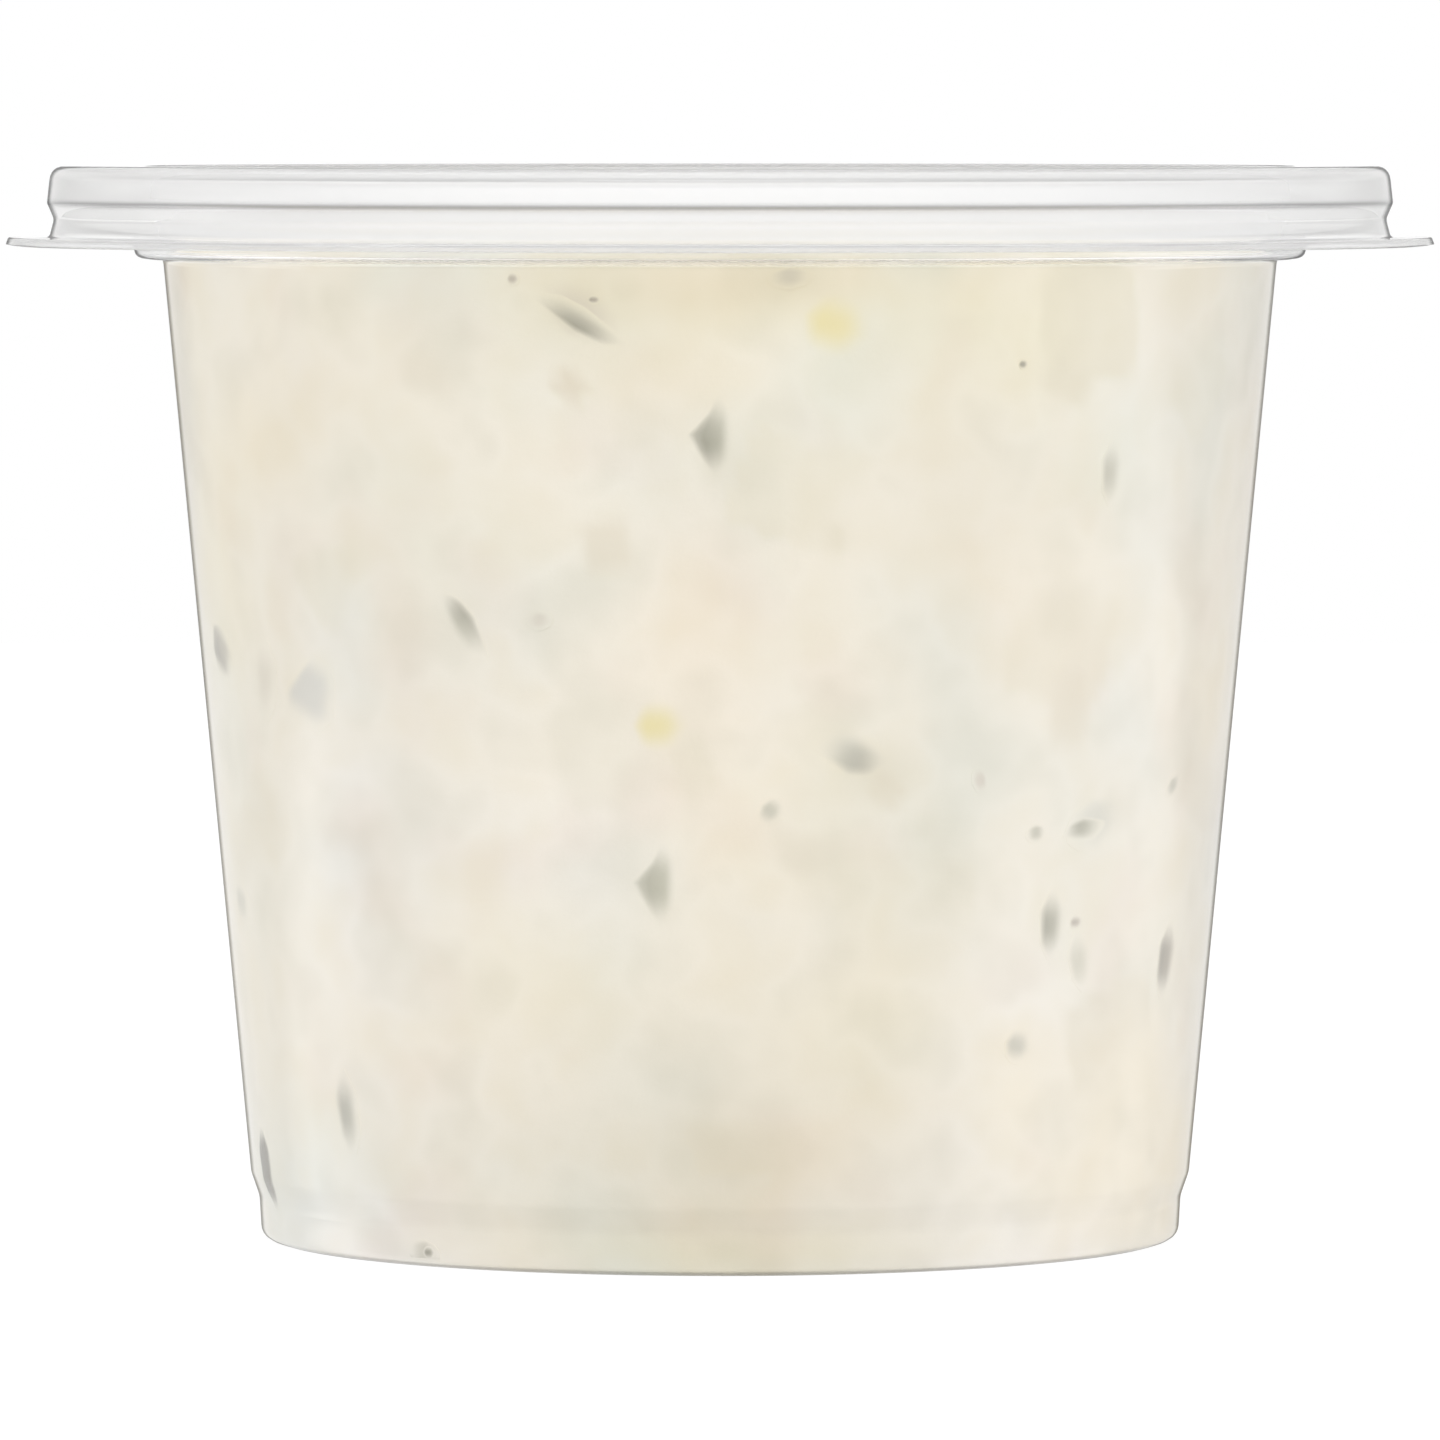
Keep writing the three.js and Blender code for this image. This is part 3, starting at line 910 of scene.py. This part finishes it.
# Leaf flecks on the shown side: degrees to the right of the front, height, length, width and
# lean clockwise from upright; then outline, show, dark, softness, fade, tail and warm. Those
# that are longer than the first value have a faint green halo
HALO_FROM = 2.5
SHOWN_FLECKS = [
    (-14, 81.3, 6.6, 3, -60, OVAL, 0.42, 0, 0.95, 0, 0, 0.75),
    (-14.2, 80.5, 6.9, 1.6, -63, SLIVER, 0.8, 0.8, 0.95, 0.3, 0, 0.45),
    (-0.2, 70.9, 5.5, 3.2, 2, KITE, 0.98, 0.78, 0.85, 0.35, 0.3, 0.35),
    (-6.4, 33.3, 5.6, 3.2, 2, KITE, 0.84, 0.4, 0.85, 0.3, 0.1, 0.35),
    (14.4, 44.2, 4.9, 2.6, -80, SLIVER, 0.85, 0.55, 0.95, 0.1, 0.5, 0.2),
    (-28.3, 54.8, 5.4, 1.9, 142, SLIVER, 0.85, 0.8, 0.9, 0.2, 0.5, 0.35),
    (-50.6, 48.7, 5.2, 4.6, 22, LEAF, 0.6, 0, 0.7, 0.15, 0, 0),
    (-59.6, 49.5, 5.6, 2.2, 8, BLADE, 0.24, 0.05, 0.95, 0, 0, 0.7),
    (-71.6, 51.6, 3.8, 4, 28, BLADE, 0.95, 0.85, 0.7, 0.2, 0.3, 0.6),
    (45.2, 67.4, 4.4, 1.6, 0, BLADE, 0.6, 0.35, 0.95, 0.1, 0, 0.45),
    (46.6, 37.6, 5.5, 2.8, 74, OVAL, 0.35, 0, 0.95, 0, 0, 0.1),
    (44.9, 37.2, 3.9, 1.5, 78, SLIVER, 0.9, 0.65, 0.95, 0.1, 0.5, 0.35),
    (37.6, 37, 1.7, 1, 85, OVAL, 0.6, 0.4, 0.95, 0, 0, 0.35),
    (61.5, 40.3, 2.2, 1, 60, OVAL, 0.6, 0.3, 0.95, 0, 0, 0.4),
    (29.6, 41.7, 1.8, 0.9, 160, OVAL, 0.35, 0.1, 0.95, 0, 0, 1),
    (40.8, 29.2, 4.8, 1.8, 0, BLADE, 0.8, 0.58, 0.95, 0.1, 0, 0.3),
    (45.7, 25.9, 4.2, 1.7, -14, BLADE, 0.42, 0.1, 0.95, 0.1, 0, 0.35),
    (44.6, 29.3, 1, 1, 0, OVAL, 0.6, 0.6, 0.95, 0, 0, 1),
    (63.6, 25.3, 5.4, 2.3, 8, BLADE, 0.85, 0.75, 0.8, 0.1, 0, 0.7),
    (36.9, 19, 2.4, 1.8, 15, OVAL, 0.6, 0.25, 0.95, 0, 0, 0.2),
    (-49.9, 12.8, 5.8, 1.8, -5, BLADE, 0.8, 0.45, 0.95, 0.1, 0, 0.2),
    (-73.2, 6.8, 6.4, 2.7, -7, BLADE, 1, 1, 0.5, -0.15, 0, 0.5),
    (-72.8, 29.8, 2.8, 2.4, 10, BLADE, 0.45, 0.3, 0.9, 0.1, 0, 0.4),
    (5.6, 39.4, 2, 1.2, 35, OVAL, 0.6, 0.25, 0.95, 0, 0, 0.3),
    (-19.4, 55.3, 1.8, 1, 80, OVAL, 0.3, 0.1, 0.95, 0, 0, 0.8),
    (6.9, 84, 2.8, 1.2, 85, OVAL, 0.5, 0.2, 0.95, 0, 0, 0.6),
    (-39, 1.2, 2.6, 1.4, 95, OVAL, 0.45, 0.3, 0.95, 0, 0, 0.5),
    (-38.2, 1.3, 0.9, 0.8, 0, OVAL, 0.8, 0.8, 0.9, 0, 0, 0.4),
    (-21, 83.9, 0.9, 0.7, 0, OVAL, 0.7, 0.5, 0.95, 0, 0, 0.8),
    (-12.6, 82.2, 0.6, 0.7, 0, OVAL, 0.8, 0.7, 0.95, 0, 0, 0.9),
    (32.4, 76.7, 0.7, 0.6, 0, OVAL, 0.85, 0.75, 0.9, 0, 0, 0.5),
]

# Yolk on the shown side: degrees, height, length, width, lean, outline, show, softness
SHOWN_YOLK = [
    (11.8, 80, 4.5, 3.7, 20, OVAL, 1, 0.95),
    (-6.4, 46.6, 3.8, 2.9, 0, OVAL, 1, 0.95),
]

# Yolk round the far side: degrees, height and length
UNSEEN_YOLK = [
    (120, 60, 5.6),
    (220, 35, 5.3),
    (170, 74, 4.8),
    (100, 22, 4.2),
    (205, 15, 5),
]

# Faces of dice just under the dressing: degrees, height, length, width, lean, show and warm;
# they are all equally dark
FACE_DARK = 0.3
SHOWN_FACES = [
    (41.5, 48, 10, 6, 0, 0.42, 0.6),
    (-11.8, 61.6, 5.5, 6, 80, 0.5, 0.6),
    (2.5, 10.5, 12, 7, 90, 0.4, 0.45),
    (-15.4, 75, 4, 3.2, 130, 0.7, 0.65),
    (38.2, 75.4, 7.5, 5, 112, 0.55, 0.4),
    (18.5, 41, 4.5, 3.6, 120, 0.35, 0.55),
    (-3, 43, 7, 5, 155, 0.3, 0.35),
    (12.2, 62.4, 3, 2.6, 0, 0.45, 0.4),
    (-8, 71.8, 6, 5, 10, 0.25, 0.2),
]

# Soft tints of the dressing as shares of its colour, then the spots on the shown side that
# have them: degrees, height, half width, half height, tint and strength. Some are the dressing's
# own tone and some are painted light: the pale spots at the sides and along the foot are painted
# highlights of the glowing side walls, and the wide olive band under the brim is painted shade
PALE_TONE_AND_HIGHLIGHT = (1.03, 1.045, 1.09)
OLIVE = (0.965, 0.965, 0.88)
PEACH = (1.01, 0.965, 0.93)
GREEN = (0.935, 0.965, 0.955)
BROWN = (0.89, 0.88, 0.85)
COOL = (0.97, 0.995, 1.05)
TONE_AND_LIGHT_SPOTS = [
    (-58, 3, 10, 4, PALE_TONE_AND_HIGHLIGHT, 0.8),
    (-49, 38, 6, 12, PALE_TONE_AND_HIGHLIGHT, 0.7),
    (-48, 2, 12, 3.5, PALE_TONE_AND_HIGHLIGHT, 1),
    (-46, 20, 7, 18, PALE_TONE_AND_HIGHLIGHT, 1),
    (-45, 52, 5, 18, PALE_TONE_AND_HIGHLIGHT, 0.4),
    (-32, 25, 8, 20, PALE_TONE_AND_HIGHLIGHT, 0.6),
    (-16, 37, 7, 8, PALE_TONE_AND_HIGHLIGHT, 0.9),
    (5, 41, 6, 5, PALE_TONE_AND_HIGHLIGHT, 0.6),
    (18, 5, 12, 6, PALE_TONE_AND_HIGHLIGHT, 0.8),
    (32, 18, 8, 18, PALE_TONE_AND_HIGHLIGHT, 1),
    (47, 20, 10, 17, PALE_TONE_AND_HIGHLIGHT, 1),
    (48, 80, 6, 5.5, PALE_TONE_AND_HIGHLIGHT, 0.9),
    (50, 2.5, 13, 4, PALE_TONE_AND_HIGHLIGHT, 1),
    (52, 50, 6, 14, PALE_TONE_AND_HIGHLIGHT, 0.5),
    (60, 8, 7, 8, PALE_TONE_AND_HIGHLIGHT, 0.6),
    (-34, 38, 6, 6, COOL, 0.5),
    (-27, 55, 6, 6, COOL, 0.5),
    (-14, 34, 7, 6, COOL, 0.5),
    (10, 39, 8, 8, COOL, 1),
    # Painted reflection: the grey-green that the plastic's edge reflects at the far left
    (-72, 50, 9, 36, GREEN, 0.8),
    (-38, 68, 8, 5, GREEN, 0.4),
    (-30, 61, 9, 5, GREEN, 0.5),
    (22, 36, 8, 9, GREEN, 0.7),
    (42, 67, 6, 5, GREEN, 0.5),
    (-30, 77, 6, 4, OLIVE, 0.2),
    (-20, 26, 9, 6, OLIVE, 0.35),
    (0, 1.5, 14, 3, OLIVE, 0.8),
    # Painted shade: a wide darker band under the brim, where less light falls near the ledge
    (8, 83, 34, 4.5, OLIVE, 1),
    (12, 76, 14, 7, OLIVE, 0.3),
    (18, 20, 8, 5, OLIVE, 0.4),
    (33, 77, 7, 5, OLIVE, 0.7),
    (-2, 60, 5, 14, PEACH, 0.9),
    (5, 83.5, 16, 2.5, PEACH, 0.8),
    (30, 56, 7, 5, PEACH, 0.35),
    (-14, 81.5, 8, 5, BROWN, 0.55),
    (-4, 83, 5, 3, BROWN, 0.3),
    (0, 5, 17, 14, BROWN, 1),
    (2, 11, 6, 4.5, BROWN, 0.35),
    (2, 83.5, 17, 3, BROWN, 0.35),
    (17.4, 42.4, 3, 2.4, BROWN, 0.5),
    (24, 68, 9, 6, BROWN, 0.25),
    (37, 64, 5, 5, BROWN, 0.35),
]


def wall_patch(form, row, look, number, softness=0.5):
    """A patch of the given visible size, widened by what its soft edges take away."""
    degrees, height, length, width, lean, outline = row
    length *= 1 + 0.3 * softness
    width *= 1 + 0.7 * softness
    across, along = shaped_patch(form, outline, length, width)
    return wall_places(across, along, form, degrees, height, lean, 0.0015 * number), look


def top_heights(dressing):
    """Rays are dropped on this to lay pieces on the dressing's top."""
    places = [vertex.co / MM for vertex in dressing.data.vertices]
    return BVHTree.FromPolygons(places, [tuple(face.vertices) for face in dressing.data.polygons])


def unseen_flecks(draw, tweak):
    """Flecks round the far side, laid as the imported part's are, with small ones among them,
    as rows of degrees, height, length, width and lean."""
    rows = []
    first, span = FAR_DEGREES
    low, rise = FAR_HEIGHTS
    for i in range(FAR_FLECKS):
        degrees = first + (i * SPREAD_TURN) % span
        height = low + rise * (i + next(draw)) / FAR_FLECKS
        length = between(3, 6.5, draw)
        width = between(1.4, 2.8, draw)
        rows.append((degrees, height, length, width, between(0, 180, draw)))
    first, span = SMALL_DEGREES
    low, rise = SMALL_HEIGHTS
    for i in range(SMALL_FLECKS):
        degrees = first + (i * SPREAD_TURN + 40) % span
        height = low + rise * (i + tweak.uniform(0, 1)) / SMALL_FLECKS
        length, width = tweak.uniform((0.8, 0.8), (LONGEST_SMALL, 1.6))
        rows.append((degrees, height, length, width, tweak.uniform(0, 180)))
    return rows


def stands_clear(row, others):
    """Whether a patch on the wall overlaps none of the others, by their places and lengths."""
    degrees, height, length = row[:3]
    for other_degrees, other_height, other_length in others:
        turned_by = (degrees - other_degrees + 180) % 360 - 180
        apart = math.hypot(math.radians(turned_by) * wall_radius(height), height - other_height)
        if apart < 0.5 * (length + other_length):
            return False
    return True


def varied_look(form, tweak, nearer=0.0):
    """A look drawn by chance; a nearer patch shows more and darker."""
    show = tweak.uniform(0.3 + nearer, 0.95)
    dark = tweak.uniform(0.1 + nearer, 0.8)
    softness = tweak.uniform(0.4, 0.9)
    fade = tweak.uniform(0.1, 0.6)
    tail = tweak.choice([0.0, 0.0, 0.6])
    return patch_look(form, show, dark, softness, fade, tail, tweak.uniform(0.1, 0.7))


def spread_spot(i, count, circle, first_turn):
    """The place of one of many spots spread evenly over a circle on the top."""
    radius = circle * math.sqrt((i + 0.5) / count)
    turn = math.radians(SPREAD_TURN * i + first_turn)
    return radius * math.sin(turn), -radius * math.cos(turn)


def laid_patches(name, faces, wall, top, material, dice):
    """Patches on the wall and on the top, each a pair of places and looks, as one piece."""
    places, looks = zip(*wall, *top)
    everywhere = np.concatenate(places)
    on_top = np.repeat([False] * len(wall) + [True] * len(top), len(places[0]))
    under = shown_faces(everywhere, dice.under(everywhere, on_top))
    joined(name, faces, places, looks, material, under, spot_tints_and_painted_light(everywhere))


def herb_flecks(form, faces, draw, tree, dice):
    """The leaf flecks: those that the photo shows, those round the far side, those on top."""
    tweak = np.random.default_rng(SEED + 1)
    wall, top = [], []
    for row in SHOWN_FLECKS:
        look = patch_look(form, *row[6:])
        wall.append(wall_patch(form, row[:6], look, len(wall), row[8]))
    taken = list(UNSEEN_YOLK)
    for row in unseen_flecks(draw, tweak):
        outline = OUTLINES[tweak.integers(5)] if row[2] > LONGEST_SMALL else OVAL
        look = varied_look(form, tweak)
        if stands_clear(row, taken):
            wall.append(wall_patch(form, (*row, outline), look, len(wall)))
            taken.append(row[:3])
    for i in range(TOP_FLECKS):
        x, y = spread_spot(i, TOP_FLECKS, *FLECK_CIRCLE)
        length = tweak.uniform(1.4, 5.5)
        outline = OUTLINES[tweak.integers(5)]
        across, along = shaped_patch(form, outline, length, length * tweak.uniform(0.4, 0.65))
        places = top_places(across, along, form, x, y, tweak.uniform(0, 180), tree)
        top.append((places, varied_look(form, tweak, nearer=0.4)))
    laid_patches("herb_flecks", faces, wall, top, veiled_material("herb_leaf", HERB_TONES), dice)


def yolk_bits(form, faces, tree, dice):
    """The bits of yolk: those that the photo shows, those round the far side, those on top."""
    tweak = np.random.default_rng(SEED + 2)
    wall, top = [], []
    rows = list(SHOWN_YOLK)
    for degrees, height, length in UNSEEN_YOLK:
        lean = tweak.uniform(0, 180)
        rows.append((degrees, height, length, 0.7 * length, lean, OVAL, tweak.uniform(0.6, 1), 0.95))
    for row in rows:
        look = patch_look(form, row[6], 0.2, row[7], 0.1, 0.0, 0.3)
        wall.append(wall_patch(form, row[:6], look, len(wall) + 0.5, row[7]))
    for i in range(TOP_YOLK):
        x, y = spread_spot(i, TOP_YOLK, *YOLK_CIRCLE)
        length = tweak.uniform(2.5, 4.5)
        across, along = shaped_patch(form, OVAL, length, length * tweak.uniform(0.6, 0.9))
        places = top_places(across, along, form, x, y, tweak.uniform(0, 180), tree)
        top.append((places, patch_look(form, tweak.uniform(0.5, 0.9), 0.2, 0.8, 0.1, 0.0, 0.3)))
    laid_patches("yolk_bits", faces, wall, top, veiled_material("egg_yolk", YOLK_TONES), dice)


# Studio

def studio_camera():
    """A long lens at the photo's height and distance; gives the way it looks."""
    data = bpy.data.cameras.new("photo_camera")
    data.lens = LENS
    data.sensor_width = 36.0
    data.clip_end = 100.0
    camera = bpy.data.objects.new("photo_camera", data)
    bpy.context.collection.objects.link(camera)
    camera.location = (0.0, -EYE_DISTANCE, EYE_HEIGHT)
    aim = Vector((0.0, 0.0, AIM_HEIGHT)) - camera.location
    camera.rotation_euler = aim.to_track_quat("-Z", "Y").to_euler()
    bpy.context.scene.camera = camera
    return aim.normalized()


def by_degrees(tree, spread, stops):
    """Brightness by degrees off the camera's axis; the spread is their share of half a turn."""
    return ramp(tree, spread, [(degrees / 180, grey(level)) for degrees, level in stops])


def ringed_room(tree, spread, parts):
    """The card, its dim ring and the room round them, dusky in a band at the tub's level."""
    room = by_degrees(tree, spread, ROOM_STOPS)
    dusky = mixed(tree, 1.0, room, by_degrees(tree, spread, DUSK_STOPS), "MULTIPLY")
    above = risen(tree, parts[2], *DUSK_FROM)
    below = risen(tree, parts[2], *DUSK_TO)
    return mixed(tree, mixed(tree, 1.0, above, below, "MULTIPLY"), room, dusky)


def side_glows(tree, room, parts):
    """Adds the glowing walls, each at its own degrees round the tub."""
    back = put(tree, "ShaderNodeMath", {"operation": "MULTIPLY"}, _0=parts[1], _1=-1.0)
    turned_by = put(tree, "ShaderNodeMath", {"operation": "ARCTAN2"}, _0=parts[0], _1=back.outputs[0])
    azimuth = put(tree, "ShaderNodeMapRange", Value=turned_by.outputs[0],
                  From_Min=-math.pi, From_Max=math.pi).outputs[0]
    for shares, lows, strength in GLOWS:
        stops = [((180 + degrees) / 360, grey(share)) for degrees, share in shares]
        rise = risen(tree, parts[2], *lows)
        glow = mixed(tree, 1.0, ramp(tree, azimuth, stops), rise, "MULTIPLY")
        room = mixed(tree, strength, room, glow, "ADD")
    return room


def studio_world(ahead):
    """White where the camera looks. In clear plastic: a bright card behind the tub, a dim
    surround that draws the edges, and glowing side walls. For the rest: an even pale room."""
    world = bpy.data.worlds.new("studio")
    world.use_nodes = True
    tree = world.node_tree
    tree.nodes.clear()
    way = put(tree, "ShaderNodeTexCoord").outputs["Generated"]
    toward = put(tree, "ShaderNodeVectorMath", {"operation": "DOT_PRODUCT"}, _0=way, _1=ahead)
    off = put(tree, "ShaderNodeMath", {"operation": "ARCCOSINE"}, _0=toward.outputs["Value"])
    spread = put(tree, "ShaderNodeMath", {"operation": "DIVIDE"}, _0=off.outputs[0], _1=math.pi)
    parts = put(tree, "ShaderNodeSeparateXYZ", Vector=way).outputs
    room = side_glows(tree, ringed_room(tree, spread.outputs[0], parts), parts)
    path = put(tree, "ShaderNodeLightPath").outputs
    room = mixed(tree, path["Is Diffuse Ray"], room, grey(ROOM_LIGHT))
    seen = mixed(tree, path["Is Camera Ray"], room, grey(1.0))
    sky = put(tree, "ShaderNodeBackground", Color=seen, Strength=1.0)
    put(tree, "ShaderNodeOutputWorld", Surface=sky.outputs[0])
    bpy.context.scene.world = world


def studio_floor():
    """A pale floor that fills the camera's view, with only a faint shadow at the foot."""
    bpy.ops.object.select_all(action="DESELECT")
    bpy.ops.mesh.primitive_circle_add(vertices=96, radius=FLOOR_RADIUS, fill_type="NGON")
    floor = bpy.context.object
    floor.name = "studio_floor"
    floor.visible_glossy = False
    floor.visible_transmission = False
    material, tree = tree_of("studio_floor")
    matte = put(tree, "ShaderNodeBsdfDiffuse", Color=grey(FLOOR_MATTE))
    glow = put(tree, "ShaderNodeEmission", Color=grey(1.0), Strength=FLOOR_GLOW)
    shown = put(tree, "ShaderNodeAddShader", _0=matte.outputs[0], _1=glow.outputs[0])
    bounce = put(tree, "ShaderNodeBsdfDiffuse", Color=grey(FLOOR_BOUNCE))
    path = put(tree, "ShaderNodeLightPath").outputs
    both = put(tree, "ShaderNodeMixShader", _0=path["Is Diffuse Ray"], _1=shown.outputs[0],
               _2=bounce.outputs[0])
    put(tree, "ShaderNodeOutputMaterial", Surface=both.outputs[0])
    floor.data.materials.append(material)


def soft_box(name, place, size, light):
    """A lamp whose face has the given brightness, aimed at the tub and not mirrored in it."""
    data = bpy.data.lights.new(name, "AREA")
    data.shape = "RECTANGLE"
    data.size, data.size_y = size
    data.energy = light * math.pi * size[0] * size[1]
    lamp = bpy.data.objects.new(name, data)
    bpy.context.collection.objects.link(lamp)
    lamp.location = place
    aim = Vector((0.0, 0.0, 0.05)) - lamp.location
    lamp.rotation_euler = aim.to_track_quat("-Z", "Y").to_euler()
    lamp.visible_glossy = False
    lamp.visible_transmission = False


def studio():
    """Camera, light and floor, and how far light is followed through the plastic."""
    studio_world(studio_camera())
    studio_floor()
    soft_box("front_box", (0.0, -1.25, 0.55), (1.0, 0.8), 1.9)
    scene = bpy.context.scene
    scene.view_settings.view_transform = "Standard"
    scene.cycles.use_denoising = True
    scene.cycles.max_bounces = 18
    scene.cycles.diffuse_bounces = 3
    scene.cycles.transmission_bounces = 18
    scene.cycles.transparent_max_bounces = 24
    scene.cycles.glossy_bounces = 6
    scene.cycles.caustics_reflective = False
    scene.cycles.caustics_refractive = False


dressing_tone_group()

tub = formed_sheet("clear_tub", TUB_CORNERS, TUB_SHADED_CREASES, TUB_SHEET, downwards=True)
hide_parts("tub")
tub_plastic = clear_plastic("tub_plastic", roughness=0.04, streak_mm=30, strength=0.006,
                            clearness=0.96, edge_shade_grey=0.985)
dress(tub, tub_plastic)

lid = formed_sheet("clear_lid", LID_CORNERS, LID_SHADED_CREASES, LID_SHEET, downwards=False)
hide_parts("lid")
lid_plastic = clear_plastic("lid_plastic", roughness=0.035, streak_mm=20, strength=0.002,
                            clearness=0.72, edge_shade_grey=0.92)
dress(lid, lid_plastic)

draw = seeded_draw(SEED)
placed, dice_looks, die_faces = placed_dice(draw)
joined("potato_dice", die_faces, placed, dice_looks, veiled_material("boiled_potato", POTATO_TONES))
dice = Dice(placed, dice_looks, die_faces)
dressing = dressing_piece(dice)
patch, patch_faces = patch_form()
dressed_top = top_heights(dressing)
herb_flecks(patch, patch_faces, draw, dressed_top, dice)
yolk_bits(patch, patch_faces, dressed_top, dice)

studio()
